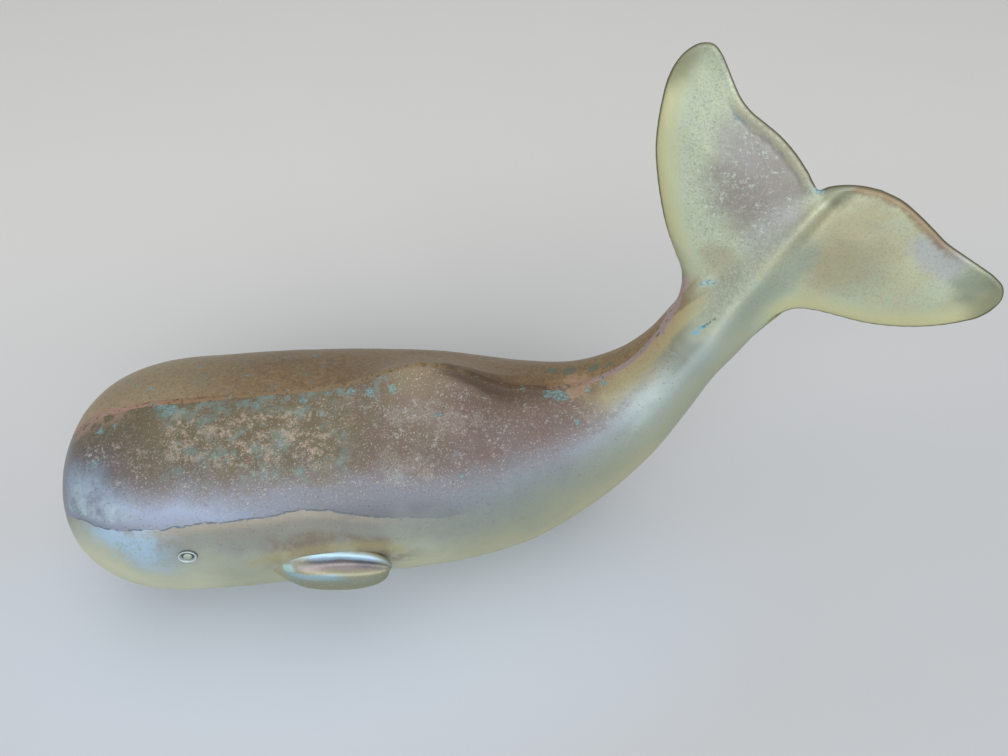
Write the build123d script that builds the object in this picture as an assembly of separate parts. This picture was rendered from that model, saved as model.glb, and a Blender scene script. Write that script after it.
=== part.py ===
"""Hollow brass whale figurine, lying on its belly with its tail lifted.

The body is two cast half shells brazed together along the back and the belly.
A solid cast tail plugs into the open end of the stock, and flippers and eye
studs are set into the shells.  Millimetres, +Z up, the snout towards -X, the
whale's left side towards -Y.  The origin is on the table under the middle of
the figurine's length.
"""
from build123d import *
from collections import namedtuple
from itertools import accumulate
from math import cos, exp, pi, radians, sin
import os

# Body sections: distance along the spine from the section before, the snout's
# tip for the first, then the height of the back, the depth of the belly and
# the half width, all from the spine
Section = namedtuple("Section", "gap back belly half_width")
CHEEK = Section(gap=66, back=51, belly=53.3, half_width=59)
SHOULDER = Section(gap=39, back=52.5, belly=53.3, half_width=58)
CHEST = Section(gap=39, back=50.5, belly=53.3, half_width=56.5)
RUMP = Section(gap=36, back=46, belly=53.3, half_width=54)
LOIN = Section(gap=30, back=41.5, belly=51.5, half_width=47.5)
TAIL_ROOT = Section(gap=27, back=38, belly=41, half_width=38)
STOCK_MID = Section(gap=28, back=28, belly=29, half_width=29.5)
STOCK_THIN = Section(gap=31, back=18.5, belly=19.5, half_width=22)
STOCK_END = Section(gap=25, back=17, belly=17, half_width=18)
STATIONS = (CHEEK, SHOULDER, CHEST, RUMP, LOIN, TAIL_ROOT, STOCK_MID, STOCK_THIN, STOCK_END)
PLACES = tuple(accumulate(station.gap for station in STATIONS))  # from the snout's tip
BODY_LENGTH = PLACES[-1]
NOSE_POWER = 2.48  # 2 is a round snout, more is blunter
SECTION_STEP = 11  # spacing of the sections that shape the body
SECTION_ANGLES = (0, 7, 15, 25, 38, 55, 75, 95, 115, 135, 155, 170, 180)
SNOUT_SHARES = (0.003, 0.02, 0.07, 0.17, 0.33, 0.6)  # places of the snout's sections

# Spine: level from the snout, then an arc that lifts the tail
SPINE_HEIGHT = 51.5  # above the table; the belly is ground flat at the table
BEND_START = 200
BEND_RADIUS = 91.5
TAIL_LIFT = 62  # degrees

# Hump on the back
HUMP_AT = 173
HUMP_HEIGHT = 17.5
HUMP_FRONT = 29  # length over which it rises
HUMP_REAR = 40  # length over which it falls
HUMP_HALF_WIDTH = 30

# Shells and seams
WALL = 2.5
SEAM_WIDTH = 3
JOINT_WIDTH = 2  # braze ring between the stock and the tail
SPIGOT_LENGTH = 11
SPIGOT_WALL = 3
CORE_LENGTH = 34  # of the hollow in the tail, from the joint
CORE_END_RADIUS = 4
SPIGOT_CLEARANCE = 0.25

# Tail: distances along the tail axis from the joint, spans out from that axis
TAIL_TWIST = 30  # degrees that the flukes turn about the tail axis
Chord = namedtuple("Chord", "span lead trail thickness")
UPPER_LOBE = (
    Chord(span=0, lead=2, trail=80, thickness=8),
    Chord(span=12, lead=10, trail=85, thickness=7.5),
    Chord(span=25, lead=22, trail=88.5, thickness=6.8),
    Chord(span=38, lead=30, trail=90, thickness=6.2),
    Chord(span=50, lead=41.5, trail=92.5, thickness=5.6),
    Chord(span=62, lead=56, trail=98.5, thickness=5),
    Chord(span=71, lead=70, trail=99, thickness=4.2),
    Chord(span=75.5, lead=82.5, trail=94, thickness=3),
)
LOWER_LOBE = (
    Chord(span=0, lead=2, trail=82, thickness=8),
    Chord(span=10, lead=14, trail=93.5, thickness=7.5),
    Chord(span=20, lead=36, trail=96.5, thickness=6.8),
    Chord(span=32, lead=45, trail=95.5, thickness=6.2),
    Chord(span=45, lead=51.5, trail=94, thickness=5.6),
    Chord(span=57, lead=60, trail=95, thickness=5),
    Chord(span=67, lead=70, trail=94.5, thickness=4.2),
    Chord(span=71.5, lead=78.5, trail=90.5, thickness=3),
)
TIP_REACH = 1.2  # from the last chord of a lobe to its tip
LOBE_POWER = 3  # 2 is a lens, more is a plate with a round rim
KEEL_LENGTH = 76  # of the ridge down the middle of the flukes
# Share of that length, then shares of the stock's radius across and through
KEEL_TAPER = ((0.15, 1.0, 0.9), (0.35, 0.95, 0.66), (0.6, 0.75, 0.4), (0.85, 0.4, 0.26), (1, 0.15, 0.16))

# Eyes
EYE_AT = 66  # from the snout
EYE_ANGLE = 74  # degrees down from the back
EYE_RADIUS = 4.2
EYE_PROUD = 0.9
EYE_SEAT_DEPTH = 1.1
EYE_GROOVE_RADIUS = 2.6
EYE_GROOVE_HALF = 0.55
EYE_PIN_RADIUS = 1.5
EYE_PIN_LENGTH = 5
EYE_CLEARANCE = 0.05

# Flippers
FLIPPER_AT = 102.5  # front of the root, from the snout
FLIPPER_LENGTH = 47
FLIPPER_ANGLE = 91.5  # degrees down from the back
FLIPPER_DROOP = 3  # degrees further down at the tip
FLIPPER_FLARE = 32  # degrees that the lower edge stands out
FLIPPER_STAND_OFF = 4.5  # of the tip from the skin
FLIPPER_HALF_WIDTH = 10.5
FLIPPER_THICKNESS = 7.5
FLIPPER_BLUNT = 0.04  # roundness of the flipper's two ends
FLIPPER_PEG_SHARE = 0.3  # place of the peg along the flipper
FLIPPER_PEG_RADIUS = 3
FLIPPER_PEG_LENGTH = 8
FLIPPER_CLEARANCE = 0.1


def spine_point(along):
    """Point on the spine and its lift in radians at a distance from the snout."""
    lift = radians(TAIL_LIFT)
    turn = min(max((along - BEND_START) / BEND_RADIUS, 0), lift)
    straight = max(along - BEND_START - BEND_RADIUS * lift, 0)
    x = min(along, BEND_START) + BEND_RADIUS * sin(turn) + straight * cos(turn)
    z = SPINE_HEIGHT + BEND_RADIUS * (1 - cos(turn)) + straight * sin(turn)
    return x, z, turn


def place(along, across, up):
    """Point at a distance along the spine, across it (+Y) and up from it."""
    x, z, turn = spine_point(along)
    return Vector(x - up * sin(turn), across, z + up * cos(turn))


def smooth(along, field):
    """Cubic curve through one field of the stations, level at both ends."""
    values = [getattr(station, field) for station in STATIONS]
    slopes = [0.0] * len(values)
    for i in range(1, len(values) - 1):
        slopes[i] = (values[i + 1] - values[i - 1]) / (PLACES[i + 1] - PLACES[i - 1])
    i = 0
    while i < len(values) - 2 and along > PLACES[i + 1]:
        i += 1
    gap = PLACES[i + 1] - PLACES[i]
    t = min(max((along - PLACES[i]) / gap, 0), 1)
    start = (1 + 2 * t) * (1 - t) ** 2 * values[i] + t * (1 - t) ** 2 * gap * slopes[i]
    finish = t * t * (3 - 2 * t) * values[i + 1] + t * t * (t - 1) * gap * slopes[i + 1]
    return start + finish


def hump(along):
    """Height of the hump's crest above the plain round back."""
    away = along - HUMP_AT
    return HUMP_HEIGHT * exp(-(away / (HUMP_FRONT if away < 0 else HUMP_REAR)) ** 2)


def crest_share(across):
    """Share of the hump's height at a distance from the middle of the back."""
    return max(0, 1 - abs(across) / HUMP_HALF_WIDTH) ** 2


def snout_share(along, inset):
    """Share of the cheek's section that the rounded snout has reached."""
    t = min(max((CHEEK.gap - along) / (CHEEK.gap - inset), 0), 1)
    return (1 - t ** NOSE_POWER) ** (1 / NOSE_POWER)


def skin_point(along, angle, inset=0.0):
    """Point of the left half's surface at an angle in degrees down from the back."""
    share = snout_share(along, inset)
    belly = smooth(along, "belly")
    if inset:
        belly = min(belly, SPINE_HEIGHT)
    tall = smooth(along, "back") if angle < 90 else belly
    out = (smooth(along, "half_width") - SEAM_WIDTH / 2 - inset) * share * sin(radians(angle))
    up = (tall - inset) * share * cos(radians(angle))
    if angle < 90:
        up += hump(along) * share * crest_share(out)
    return place(along, -SEAM_WIDTH / 2 - out, up)


def skin_normal(along, angle):
    """Outward direction of the left half's surface."""
    step = 0.5
    ahead = skin_point(along + step, angle) - skin_point(along - step, angle)
    round_it = skin_point(along, angle + step) - skin_point(along, angle - step)
    return round_it.cross(ahead).normalized()


def half_section(along, inset):
    """Closed section of the left half; drawn in, it runs past the seam so that it cuts clear."""
    points = [skin_point(along, angle, inset) for angle in SECTION_ANGLES]
    curve = Spline(*points)
    if not inset:
        return make_face(Wire([curve, Line(points[-1], points[0])]))
    clear = Vector(0, SEAM_WIDTH, 0)
    corners = [points[-1], points[-1] + clear, points[0] + clear, points[0]]
    lines = [Line(start, end) for start, end in zip(corners, corners[1:])]
    return make_face(Wire([curve] + lines))


def half_body(inset):
    """Solid inside the left half's surface, drawn in by inset."""
    reach = CHEEK.gap - inset
    snout = [inset + reach * share for share in SNOUT_SHARES]
    count = round((BODY_LENGTH - CHEEK.gap) / SECTION_STEP)
    gap = (BODY_LENGTH - CHEEK.gap) / count
    places = snout + [CHEEK.gap + gap * i for i in range(count + 1)]
    return loft([half_section(along, inset) for along in places])


def block(low, high):
    """Box between two corners."""
    size = [b - a for a, b in zip(low, high)]
    return Pos(*low) * Box(*size, align=(Align.MIN, Align.MIN, Align.MIN))


def mirrored(piece):
    """The same piece on the whale's other side."""
    return mirror(piece, about=Plane.XZ)


# Room round the whole figurine for the cutting blocks
FAR = 3 * BODY_LENGTH


def make_body():
    """Left half as a solid and as a shell, and the braze along the back and the belly."""
    solid = half_body(0)
    hollow = half_body(WALL)
    below = block((-FAR, -FAR, -FAR), (FAR, FAR, 0))
    flat = solid.faces().sort_by(Axis.Y)[-1]
    strip = extrude(flat, amount=SEAM_WIDTH, dir=(0, 1, 0)) - hollow - below
    line = [place(BODY_LENGTH * i / 20, 0, 0) for i in range(1, 21)]
    end = spine_point(BODY_LENGTH)[2]
    beyond = line[-1] + Vector(cos(end), 0, sin(end)) * BODY_LENGTH
    outline = [Vector(-FAR, 0, SPINE_HEIGHT)] + line + [beyond, Vector(-FAR, 0, FAR)]
    above = extrude(make_face(Polyline(*outline, close=True)), amount=SEAM_WIDTH, both=True)
    return solid, solid - hollow - below, strip & above, strip - above


def tail_frame():
    """Start of the tail casting, its axis, and its span and thickness directions."""
    lift = spine_point(BODY_LENGTH)[2]
    axis = Vector(cos(lift), 0, sin(lift))
    up = Vector(-sin(lift), 0, cos(lift))
    twist = radians(TAIL_TWIST)
    span = up * cos(twist) + Vector(0, 1, 0) * sin(twist)
    return place(BODY_LENGTH, 0, 0) + axis * JOINT_WIDTH, axis, span, axis.cross(span)


def rounded(centre, long_way, half_long, thick_way, half_thick, power):
    """Closed section between a lens and a plate with a round rim."""
    points = []
    for step in range(16):
        a = 2 * pi * step / 16
        far = abs(cos(a)) ** (2 / power) * (1 if cos(a) > 0 else -1)
        high = abs(sin(a)) ** (2 / power) * (1 if sin(a) > 0 else -1)
        points.append(centre + long_way * (half_long * far) + thick_way * (half_thick * high))
    return make_face(Spline(*points, periodic=True))


def lobe(chords, side):
    """One fluke: chords across the tail axis, from the axis out to the tip."""
    start, axis, span, thick = tail_frame()
    sections = []
    for chord in chords:
        middle = start + axis * ((chord.lead + chord.trail) / 2) + span * (side * chord.span)
        half = (chord.trail - chord.lead) / 2
        sections.append(rounded(middle, axis, half, thick, chord.thickness / 2, LOBE_POWER))
    last = chords[-1]
    tip = start + axis * ((last.lead + last.trail) / 2) + span * (side * (last.span + TIP_REACH))
    return loft(sections + [Vertex(*tip)])


def stock_end(inset):
    """Whole section of the stock's open end, drawn in by inset."""
    left = [skin_point(BODY_LENGTH, angle, inset) for angle in SECTION_ANGLES]
    right = [Vector(point.X, -point.Y, point.Z) for point in reversed(left)]
    curves = [Spline(*left), Line(left[-1], right[0]), Spline(*right), Line(right[-1], left[0])]
    return make_face(Wire(curves))


def make_tail():
    """Solid flukes with a keel and a spigot, and the braze ring behind the spigot's shoulder."""
    start, axis, span, thick = tail_frame()
    bore = stock_end(WALL + SPIGOT_CLEARANCE)
    spigot = extrude(bore, amount=JOINT_WIDTH, dir=axis)
    spigot += extrude(bore, amount=SPIGOT_LENGTH, dir=axis * -1)
    ring = extrude(stock_end(0), amount=JOINT_WIDTH, dir=axis) - spigot
    radius = (STOCK_END.back + STOCK_END.half_width) / 2
    keel = [rounded(start, span, radius, thick, radius, 2)]
    for share, wide, deep in KEEL_TAPER:
        centre = start + axis * (KEEL_LENGTH * share)
        keel.append(rounded(centre, span, radius * wide, thick, radius * deep, 2))
    tail = loft(keel) + lobe(UPPER_LOBE, 1) + lobe(LOWER_LOBE, -1) + spigot
    depth = SPIGOT_LENGTH + JOINT_WIDTH
    mouth = radius - WALL - SPIGOT_CLEARANCE - SPIGOT_WALL
    tube = Cylinder(mouth, depth, align=(Align.CENTER, Align.CENTER, Align.MAX))
    cone = Cone(mouth, CORE_END_RADIUS, CORE_LENGTH, align=(Align.CENTER, Align.CENTER, Align.MIN))
    core = Plane(origin=start, x_dir=span, z_dir=axis).location * (tube + cone)
    return tail - core, ring


def eye_frame():
    """Plane on the left side of the head, its Z pointing out of the skin."""
    out = skin_normal(EYE_AT, EYE_ANGLE)
    return Plane(origin=skin_point(EYE_AT, EYE_ANGLE), x_dir=Vector(1, 0, 0), z_dir=out)


def make_eye():
    """Left eye stud with a ringed head, and the stepped hole that it sits in."""
    plane = eye_frame()
    low = Align.CENTER, Align.CENTER, Align.MIN
    top = EYE_PROUD + EYE_SEAT_DEPTH
    head = Cylinder(EYE_RADIUS, top, align=low)
    head = fillet(head.edges().sort_by(Axis.Z)[-1], EYE_PROUD / 2)
    groove = Pos(0, 0, top) * Torus(EYE_GROOVE_RADIUS, EYE_GROOVE_HALF)
    pin = Pos(0, 0, -EYE_PIN_LENGTH) * Cylinder(EYE_PIN_RADIUS, EYE_PIN_LENGTH, align=low)
    seat = Cylinder(EYE_RADIUS + EYE_CLEARANCE, 4 * top, align=low)
    drill = Cylinder(EYE_PIN_RADIUS + EYE_CLEARANCE, 3 * EYE_PIN_LENGTH, align=low)
    drill = Pos(0, 0, -2 * EYE_PIN_LENGTH) * drill
    down = Pos(0, 0, -EYE_SEAT_DEPTH)
    return plane.location * down * (head - groove + pin), plane.location * down * (seat + drill)


def flipper_section(share):
    """Section of the left flipper at a share of its length."""
    along = FLIPPER_AT + FLIPPER_LENGTH * share
    angle = FLIPPER_ANGLE + FLIPPER_DROOP * share
    out = skin_normal(along, angle)
    down = (skin_point(along, angle + 1) - skin_point(along, angle - 1)).normalized()
    flare = radians(FLIPPER_FLARE)
    chord = down * cos(flare) + out * sin(flare)
    centre = skin_point(along, angle) + out * (FLIPPER_STAND_OFF * share)
    leaf = (4 * (share + FLIPPER_BLUNT) * (1 + FLIPPER_BLUNT - share)) ** 0.5 / (1 + 2 * FLIPPER_BLUNT)
    half = FLIPPER_HALF_WIDTH * leaf
    thick = FLIPPER_THICKNESS / 2 * leaf
    return rounded(centre, chord, half, chord.cross(Vector(1, 0, 0)).normalized(), thick, 2)


def make_flipper(outer):
    """Left flipper with its peg, and the hole for the peg."""
    shares = (0, 0.08, 0.22, 0.4, 0.6, 0.78, 0.92, 1)
    leaf = loft([flipper_section(share) for share in shares]) - outer
    at = FLIPPER_AT + FLIPPER_LENGTH * FLIPPER_PEG_SHARE
    out = skin_normal(at, FLIPPER_ANGLE)
    plane = Plane(origin=skin_point(at, FLIPPER_ANGLE), x_dir=Vector(1, 0, 0), z_dir=out)
    low = Align.CENTER, Align.CENTER, Align.MAX
    start = Pos(0, 0, FLIPPER_THICKNESS / 4)
    peg = Cylinder(FLIPPER_PEG_RADIUS, FLIPPER_PEG_LENGTH, align=low)
    hole = Cylinder(FLIPPER_PEG_RADIUS + FLIPPER_CLEARANCE, 2 * FLIPPER_PEG_LENGTH, align=low)
    return leaf + plane.location * start * peg, plane.location * start * hole


def main():
    """Build every piece, set the origin under the middle and write the files."""
    outer, shell, back_seam, belly_seam = make_body()
    tail, ring = make_tail()
    eye, eye_hole = make_eye()
    flipper, peg_hole = make_flipper(outer)
    shell = shell - eye_hole - peg_hole
    pieces = {
        "left_half_shell": shell,
        "right_half_shell": mirrored(shell),
        "back_seam_braze": back_seam,
        "belly_seam_braze": belly_seam,
        "tail_flukes": tail,
        "tail_joint_braze": ring,
        "left_eye": eye,
        "right_eye": mirrored(eye),
        "left_flipper": flipper,
        "right_flipper": mirrored(flipper),
    }
    box = Compound(children=[Part(piece.wrapped) for piece in pieces.values()]).bounding_box()
    middle = (box.min.X + box.max.X) / 2
    os.makedirs("parts", exist_ok=True)
    for name, piece in pieces.items():
        moved = Pos(-middle, 0, 0) * piece
        print(name, len(moved.solids()), round(moved.volume), moved.is_valid)
        export_step(moved, f"parts/{name}.step")
    print("box", box.size, "middle", middle)


main()
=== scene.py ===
import bpy
import numpy as np
from mathutils import Matrix, Vector


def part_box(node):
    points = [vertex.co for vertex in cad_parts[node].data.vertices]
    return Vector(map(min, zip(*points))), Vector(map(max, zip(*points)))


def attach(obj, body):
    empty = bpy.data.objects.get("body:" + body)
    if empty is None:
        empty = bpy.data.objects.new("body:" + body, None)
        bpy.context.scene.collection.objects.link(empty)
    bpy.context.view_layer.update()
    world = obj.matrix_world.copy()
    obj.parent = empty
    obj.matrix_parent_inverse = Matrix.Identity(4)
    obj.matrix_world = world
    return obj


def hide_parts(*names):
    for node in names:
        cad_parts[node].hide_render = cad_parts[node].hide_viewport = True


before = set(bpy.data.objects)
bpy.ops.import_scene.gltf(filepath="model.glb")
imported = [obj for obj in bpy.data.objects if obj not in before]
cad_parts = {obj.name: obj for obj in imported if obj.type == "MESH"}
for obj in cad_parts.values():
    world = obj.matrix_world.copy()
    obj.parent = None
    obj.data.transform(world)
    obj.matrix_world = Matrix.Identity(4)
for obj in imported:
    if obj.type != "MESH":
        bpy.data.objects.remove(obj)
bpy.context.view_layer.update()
mm = 0.001
sharpAngle = 50  # degrees between two faces from which their edge stays sharp
print("frame loaded with", len(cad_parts), "nodes")


# Meshes from grids

def gridFaces(rows, columns):
    # quads between neighbouring rows and columns of a grid whose last column joins its first
    r = np.arange(rows - 1)[:, None]
    c = np.arange(columns)[None, :]
    n = (c + 1) % columns
    quads = (r * columns + c, r * columns + n, (r + 1) * columns + n, (r + 1) * columns + c)
    return np.stack(np.broadcast_arrays(*quads), -1).reshape(-1, 4)


def capFaces(first, count):
    # quads that close a ring of points, pairing those from its two ends
    k = np.arange(count // 2 - 1)
    return first + np.stack([k, k + 1, count - 2 - k, count - 1 - k], -1)


def weld(points, faces):
    # points closer than a micrometre become one; gives the points kept and the faces on them
    keys = np.round(points / mm).astype(np.int64)
    first, back = np.unique(keys, axis=0, return_index=True, return_inverse=True)[1:]
    order = np.argsort(first)
    place = np.empty_like(order)
    place[order] = np.arange(len(order))
    return first[order], place[back.reshape(-1)][faces]


def piece(name, grid, replaced, material, fields, caps=()):
    # one closed mesh in the shared frame from a grid in millimetres and its caps, with fields at its points;
    # a quad that lost one corner in the weld becomes a triangle, and one that lost two is left out
    points = grid.reshape(-1, 3)
    kept, quads = weld(points, np.concatenate([gridFaces(*grid.shape[:2]), *caps]))
    p = points[kept]
    same = quads == np.roll(quads, -1, axis=1)
    quads = quads[same.sum(1) < 2]
    same = quads == np.roll(quads, -1, axis=1)
    three = quads[same.any(1)]
    lost = np.argmax(three == np.roll(three, -1, axis=1), axis=1)
    keep = np.arange(4)[None, :] != lost[:, None]
    triangles = three[keep].reshape(-1, 3)
    quads = quads[~same.any(1)]
    fan = np.concatenate([quads[:, [0, 1, 2]], quads[:, [0, 2, 3]], triangles])
    volume = np.einsum("ij,ij->", p[fan[:, 0]], np.cross(p[fan[:, 1]], p[fan[:, 2]]))
    if volume < 0:
        quads = quads[:, ::-1]
        triangles = triangles[:, ::-1]
    mesh = bpy.data.meshes.new(name)
    mesh.vertices.add(len(p))
    mesh.vertices.foreach_set("co", (p * mm).astype(np.float32).ravel())
    loops = np.concatenate([quads.ravel(), triangles.ravel()]).astype(np.int32)
    totals = np.concatenate([np.full(len(quads), 4), np.full(len(triangles), 3)]).astype(np.int32)
    mesh.loops.add(len(loops))
    mesh.loops.foreach_set("vertex_index", loops)
    mesh.polygons.add(len(totals))
    mesh.polygons.foreach_set("loop_start", (np.cumsum(totals) - totals).astype(np.int32))
    mesh.polygons.foreach_set("use_smooth", np.ones(len(totals), bool))
    mesh.update(calc_edges=True)
    mesh.validate()
    mesh.set_sharp_from_angle(angle=np.radians(sharpAngle))
    for field, values in fields.items():
        layer = mesh.attributes.new(field, "FLOAT", "POINT")
        layer.data.foreach_set("value", values.ravel()[kept].astype(np.float32))
    thing = bpy.data.objects.new(name, mesh)
    bpy.context.scene.collection.objects.link(thing)
    mesh.materials.append(material)
    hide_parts(*replaced)
    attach(thing, "root")
    print(name, len(p), "points,", len(quads) * 2 + len(triangles), "triangles")


def sidePiece(side, grid, part, node, material, fields, caps=()):
    # a brass piece drawn as the left one; the right one is its mirror image
    name = "left" if side < 0 else "right"
    grid[..., 1] *= -side
    piece(name + part, grid, [name + node], material, fields, caps)


def lumps(points, size, seed):
    # smooth noise from 0 to 1: random numbers on a cubic lattice of this size, eased between its corners
    lattice = 32
    table = np.random.default_rng(seed).random((lattice, lattice, lattice))
    cell = np.floor(points / size).astype(int)
    t = points / size - cell
    t = t * t * (3 - 2 * t)
    total = 0
    for corner in range(8):
        step = np.array([corner & 1, corner >> 1 & 1, corner >> 2])
        weight = np.prod(np.where(step == 1, t, 1 - t), axis=-1)
        i, j, k = np.moveaxis((cell + step) % lattice, -1, 0)
        total = total + weight * table[i, j, k]
    return total


def castLumps(points, coarse, fine, seed):
    # coarse lumps and finer ones of half their height, together about zero
    return lumps(points, coarse, seed) + 0.5 * lumps(points, fine, seed + 1) - 0.75


def ease(low, high, x):
    # 0 at low, 1 at high, an S curve between; low may be above high
    t = np.clip((x - low) / (high - low), 0, 1)
    return t * t * (3 - 2 * t)


def normals(grid):
    # unit normals of a grid of points from its row and column directions
    n = np.cross(np.gradient(grid, axis=0), np.gradient(grid, axis=1))
    return n / np.maximum(np.linalg.norm(n, axis=-1, keepdims=True), 1e-9)


def cubic(t, gap, first, last, firstSlope, lastSlope):
    # from one value to the next as t goes from 0 to 1 over a gap, with a slope at each end
    start = (1 + 2 * t) * (1 - t) ** 2 * first + t * (1 - t) ** 2 * gap * firstSlope
    return start + t * t * (3 - 2 * t) * last + t * t * (t - 1) * gap * lastSlope


def curveThrough(places, values, slopes, x):
    # a cubic from each place to the next, with the values and slopes at the places
    i = np.clip(np.searchsorted(places, x) - 1, 0, len(places) - 2)
    gap = places[i + 1] - places[i]
    t = np.clip((x - places[i]) / gap, 0, 1)
    return cubic(t, gap, values[i], values[i + 1], slopes[i], slopes[i + 1])


def spline(points, count, first=0, last=None):
    # smooth curve through a few points, with slopes taken from both neighbours, from one point to another
    p = np.array(points, float)
    gaps = np.linalg.norm(np.diff(p, axis=0), axis=1)
    places = np.concatenate([[0], np.cumsum(gaps)])
    slopes = np.gradient(p, places, axis=0)
    s = np.linspace(places[first], places[-1 if last is None else last], count)
    i = np.clip(np.searchsorted(places, s, side="right") - 1, 0, len(p) - 2)
    t = ((s - places[i]) / gaps[i])[:, None]
    return cubic(t, gaps[i][:, None], p[i], p[i + 1], slopes[i], slopes[i + 1])


def nearest(points, line):
    # distance from each point to the closest point of a finely drawn line, taken in batches
    best = np.full(points.shape[:-1], 1e9)
    batch = 40
    for k in range(0, len(line), batch):
        gap = points[..., None, :] - line[k:k + batch]
        best = np.minimum(best, np.linalg.norm(gap, axis=-1).min(-1))
    return best


# Materials

def tone(red, green, blue):
    # colour as the eye reads it, 0 to 255, turned into linear light
    c = np.array([red, green, blue]) / 255
    return (*np.where(c < 0.04045, c / 12.92, ((c + 0.055) / 1.055) ** 2.4), 1)


class Recipe:
    # a material's node tree and the colour laid on so far, with one short call for each kind of node
    def __init__(self, name, tones):
        self.tones = tones
        self.material = bpy.data.materials.new(name)
        self.material.use_nodes = True
        self.tree = self.material.node_tree
        self.shader = self.tree.nodes["Principled BSDF"]
        self.place = self.add("ShaderNodeTexCoord").outputs["Object"]

    def add(self, kind, **settings):
        node = self.tree.nodes.new(kind)
        for key, value in settings.items():
            setattr(node, key, value)
        return node

    def plug(self, socket, value):
        # a link where the value comes from a node, else a constant on the socket itself
        if isinstance(value, bpy.types.NodeSocket):
            self.tree.links.new(value, socket)
        else:
            socket.default_value = value

    def field(self, name):
        return self.add("ShaderNodeAttribute", attribute_name=name).outputs["Fac"]

    def noise(self, size, detail=4, rough=0.6, shift=0):
        # soft noise whose lumps are about this many millimetres across; another shift gives other lumps
        spread = self.add("ShaderNodeMapping")
        self.plug(spread.inputs["Vector"], self.place)
        spread.inputs["Location"].default_value = (shift, shift, shift)
        node = self.add("ShaderNodeTexNoise")
        self.plug(node.inputs["Vector"], spread.outputs["Vector"])
        node.inputs["Scale"].default_value = 1 / (size * mm)
        node.inputs["Detail"].default_value = detail
        node.inputs["Roughness"].default_value = rough
        return node.outputs["Fac"]

    def sum(self, operation, a, b=0.0):
        node = self.add("ShaderNodeMath", operation=operation)
        self.plug(node.inputs[0], a)
        self.plug(node.inputs[1], b)
        return node.outputs["Value"]

    def rise(self, value, low, high):
        # 0 at low, 1 at high, clamped and eased; low may be above high
        node = self.add("ShaderNodeMapRange", interpolation_type="SMOOTHSTEP")
        self.plug(node.inputs["Value"], value)
        node.inputs["From Min"].default_value = low
        node.inputs["From Max"].default_value = high
        return node.outputs["Result"]

    def between(self, value, low, full, fade, end):
        # 1 from full to fade, eased down to 0 at low and at end
        return self.both(self.rise(value, low, full), self.rise(value, end, fade))

    def span(self, value, low, high):
        # 0 to 1 turned into low to high
        node = self.add("ShaderNodeMapRange")
        self.plug(node.inputs["Value"], value)
        node.inputs["To Min"].default_value = low
        node.inputs["To Max"].default_value = high
        return node.outputs["Result"]

    def patches(self, size, low, high, detail=4, rough=0.6, shift=0):
        # islands of noise: 0 where it is under low, 1 where it is over high
        return self.rise(self.noise(size, detail, rough, shift), low, high)

    def waver(self, value, size, reach, detail=4, rough=0.6, shift=0):
        # a value pushed up and down by noise, so that what is cut from it has a ragged edge
        return self.sum("ADD", value, self.span(self.noise(size, detail, rough, shift), -reach, reach))

    def ellipse(self, a, b, middle, size):
        # 0 in the middle of an ellipse of two values, 1 on its rim, more outside
        x = self.sum("DIVIDE", self.sum("SUBTRACT", a, float(middle[0])), float(size[0]))
        y = self.sum("DIVIDE", self.sum("SUBTRACT", b, float(middle[1])), float(size[1]))
        return self.sum("ADD", self.sum("MULTIPLY", x, x), self.sum("MULTIPLY", y, y))

    def both(self, *masks):
        total = masks[0]
        for mask in masks[1:]:
            total = self.sum("MULTIPLY", total, mask)
        return total

    def opposite(self, mask):
        return self.sum("SUBTRACT", 1.0, mask)

    def ramp(self, value, stops, full=1.0):
        # colours along a value, each stop a place from 0 to full and a plain colour
        node = self.add("ShaderNodeValToRGB")
        self.plug(node.inputs["Fac"], self.sum("DIVIDE", value, full))
        steps = node.color_ramp.elements
        steps[0].position = stops[0][0] / full
        steps[0].color = tone(*stops[0][1])
        steps[1].position = stops[-1][0] / full
        steps[1].color = tone(*stops[-1][1])
        for place, colour in stops[1:-1]:
            steps.new(place / full).color = tone(*colour)
        return node.outputs["Color"]

    def mix(self, share, a, b):
        node = self.add("ShaderNodeMix", data_type="RGBA")
        self.plug(node.inputs[0], share)
        self.plug(node.inputs[6], a)
        self.plug(node.inputs[7], b)
        return node.outputs[2]

    def blend(self, share, a, b):
        # from one named tone to another
        return self.mix(share, tone(*self.tones[a]), tone(*self.tones[b]))

    def over(self, colour, shade, *masks):
        # a plain colour over another one, as far as every mask lets it through
        return self.mix(self.both(*masks), colour, tone(*shade))

    def paint(self, name, *masks):
        # a named tone over the colour so far
        self.colour = self.over(self.colour, self.tones[name], *masks)

    def cover(self, colour, *masks):
        # a computed colour over the colour so far
        self.colour = self.mix(self.both(*masks), self.colour, colour)

    def bump(self, height, depth, under=None):
        # height from 0 to 1 becomes a relief of this depth in millimetres
        node = self.add("ShaderNodeBump")
        node.inputs["Strength"].default_value = 1
        node.inputs["Distance"].default_value = depth * mm
        self.plug(node.inputs["Height"], height)
        if under is not None:
            self.plug(node.inputs["Normal"], under)
        return node.outputs["Normal"]

    def finish(self, metal, rough, normal):
        sockets = {"Base Color": self.colour, "Metallic": metal, "Roughness": rough, "Normal": normal}
        for name, value in sockets.items():
            self.plug(self.shader.inputs[name], value)
        return self.material


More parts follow.
